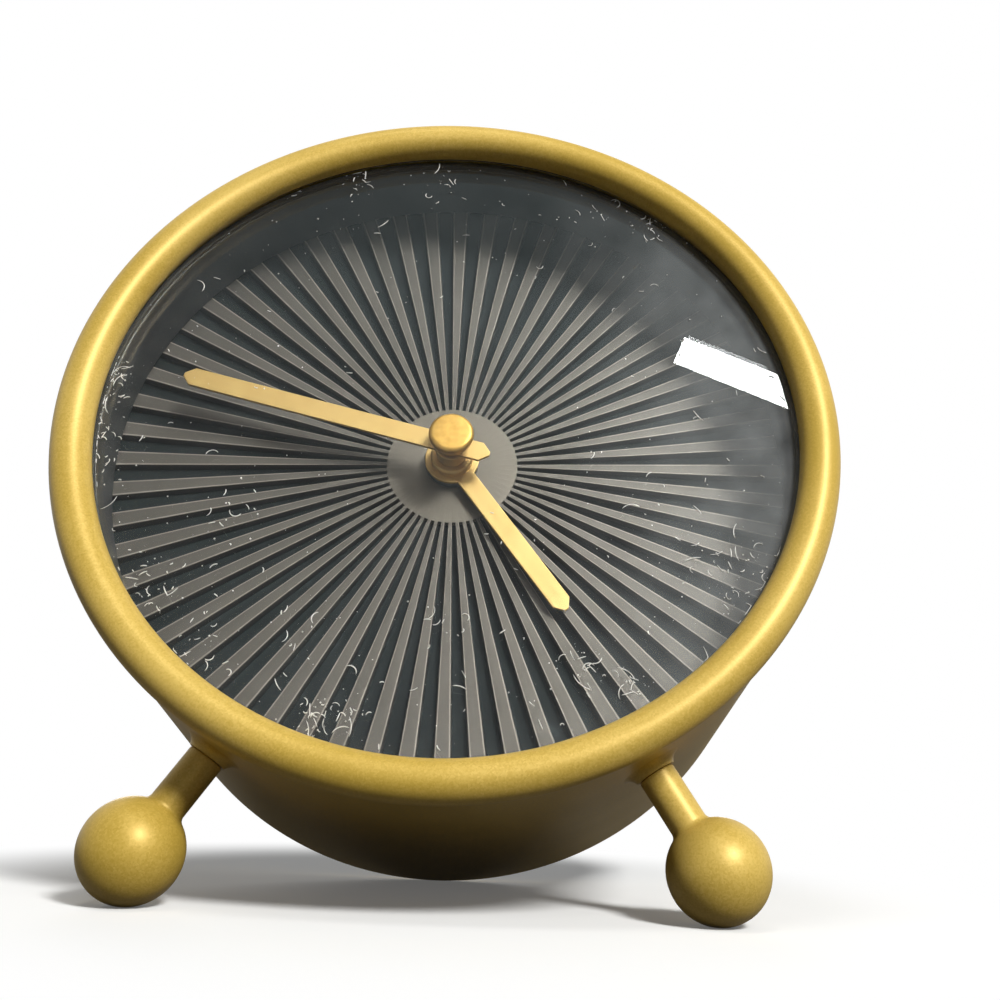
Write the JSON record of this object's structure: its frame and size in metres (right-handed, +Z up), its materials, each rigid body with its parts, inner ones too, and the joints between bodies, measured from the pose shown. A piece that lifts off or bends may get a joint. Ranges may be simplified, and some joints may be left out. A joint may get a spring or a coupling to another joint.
{
  "type": "desk clock",
  "caption": "Desk clock with a metal drum case, rounded front lip, glazed dial of raised radial ribs, baton hands, ball feet and a battery movement set from behind.",
  "frame": {"origin": "centre of the bottom of the bounding box, on the surface that the clock stands on", "axes": "+X to the right seen from the front, +Y towards the back, +Z up; the dial faces -Y and leans back 15 degrees"},
  "size_m": [0.11, 0.0842, 0.1199],
  "materials": {
    "gold_case": "satin gold with a fine sparkling grain",
    "gold_hands": "satin gilt sheet",
    "dial_black": "matt charcoal, moulded",
    "black_plastic": "matt black, moulded",
    "grey_plastic": "matt grey, moulded",
    "white_plastic": "natural white, moulded",
    "rubber": "matt black",
    "clear_glass": "clear, polished",
    "steel": "plain or zinc plated",
    "brass": "turned and stamped",
    "copper_wire": "enamelled copper wire",
    "board_green": "green lacquered laminate",
    "battery_sleeve": "printed sleeve, bare of words"
  },
  "bodies": {
    "clock_case": {"case_body": "gold_case", "bezel": "gold_case", "front_glass": "clear_glass", "glass_gasket": "rubber", "spacer_ring": "black_plastic", "dial": "dial_black", "left_leg": "gold_case", "left_leg_stud": "steel", "right_leg": "gold_case", "right_leg_stud": "steel", "movement_front_shell": "grey_plastic", "movement_rear_shell": "grey_plastic", "train_plate": "white_plastic", "train_bridge": "white_plastic", "stator": "steel", "coil_core": "steel", "coil_bobbin": "white_plastic", "coil_winding": "copper_wire", "circuit_board": "board_green", "control_chip": "black_plastic", "quartz_crystal": "steel", "battery": "battery_sleeve", "contact_plus": "steel", "contact_minus": "steel", "back_cover": "black_plastic", "cover_screw_1": "steel", "cover_screw_2": "steel", "cover_screw_3": "steel", "cover_screw_4": "steel", "movement_screw_left": "steel", "movement_screw_right": "steel", "dial_screw_left": "steel", "dial_screw_right": "steel"},
    "minute_hand_unit": {"minute_hand": "gold_hands", "cap_nut": "gold_hands", "minute_pipe": "brass"},
    "hour_hand_unit": {"hour_hand": "gold_hands", "hour_wheel": "white_plastic"},
    "motion_wheel_unit": {"motion_wheel": "white_plastic"},
    "setting_knob_unit": {"setting_knob": "black_plastic"},
    "centre_wheel_unit": {"centre_wheel": "brass"},
    "third_wheel_unit": {"third_wheel": "white_plastic"},
    "second_wheel_unit": {"second_wheel": "white_plastic"},
    "intermediate_wheel_unit": {"intermediate_wheel": "white_plastic"},
    "rotor_unit": {"rotor": "steel"},
    "battery_door_unit": {"battery_door": "black_plastic"}
  },
  "joints": [
    {"name": "minute_hand_turn", "type": "hinge", "parent": "clock_case", "child": "minute_hand_unit", "pos_m": [0, -0.01644, 0.06421], "axis": [0, 0.9658, -0.2593], "continuous": true},
    {"name": "hour_hand_turn", "type": "hinge", "parent": "clock_case", "child": "hour_hand_unit", "pos_m": [0, -0.01219, 0.06307], "axis": [0, 0.9658, -0.2593], "continuous": true},
    {"name": "motion_wheel_turn", "type": "hinge", "parent": "clock_case", "child": "motion_wheel_unit", "pos_m": [-0.00705, -0.00408, 0.06355], "axis": [0, 0.9658, -0.2593], "continuous": true},
    {"name": "setting_knob_turn", "type": "hinge", "parent": "clock_case", "child": "setting_knob_unit", "pos_m": [-0.01354, 0.01466, 0.0624], "axis": [0, 0.9658, -0.2593], "continuous": true},
    {"name": "second_wheel_turn", "type": "hinge", "parent": "clock_case", "child": "second_wheel_unit", "pos_m": [0, 0.00047, 0.05967], "axis": [0, 0.9658, -0.2593], "continuous": true},
    {"name": "intermediate_wheel_turn", "type": "hinge", "parent": "clock_case", "child": "intermediate_wheel_unit", "pos_m": [-0.0013, 0.00354, 0.06649], "axis": [0, 0.9658, -0.2593], "continuous": true},
    {"name": "rotor_turn", "type": "hinge", "parent": "clock_case", "child": "rotor_unit", "pos_m": [0.00493, 0.00274, 0.07044], "axis": [0, 0.9658, -0.2593], "continuous": true},
    {"name": "third_wheel_turn", "type": "hinge", "parent": "clock_case", "child": "third_wheel_unit", "pos_m": [0.00768, -0.00104, 0.05868], "axis": [0, 0.9658, -0.2593], "continuous": true},
    {"name": "centre_wheel_turn", "type": "hinge", "parent": "clock_case", "child": "centre_wheel_unit", "pos_m": [0, -0.0032, 0.06066], "axis": [0, 0.9658, -0.2593], "continuous": true},
    {"name": "battery_door_hinge", "type": "hinge", "parent": "clock_case", "child": "battery_door_unit", "pos_m": [0, 0.00278, 0.03203], "axis": [-1, 0, 0], "range_deg": [0, 95]}
  ],
  "couplings": [
    {"joint": "hour_hand_turn", "follows": "minute_hand_turn", "ratio": 0.083333},
    {"joint": "motion_wheel_turn", "follows": "minute_hand_turn", "ratio": -0.33333},
    {"joint": "setting_knob_turn", "follows": "minute_hand_turn", "ratio": 1},
    {"joint": "intermediate_wheel_turn", "follows": "second_wheel_turn", "ratio": -6},
    {"joint": "rotor_turn", "follows": "second_wheel_turn", "ratio": 30},
    {"joint": "third_wheel_turn", "follows": "second_wheel_turn", "ratio": -0.13333},
    {"joint": "centre_wheel_turn", "follows": "second_wheel_turn", "ratio": 0.016667}
  ]
}
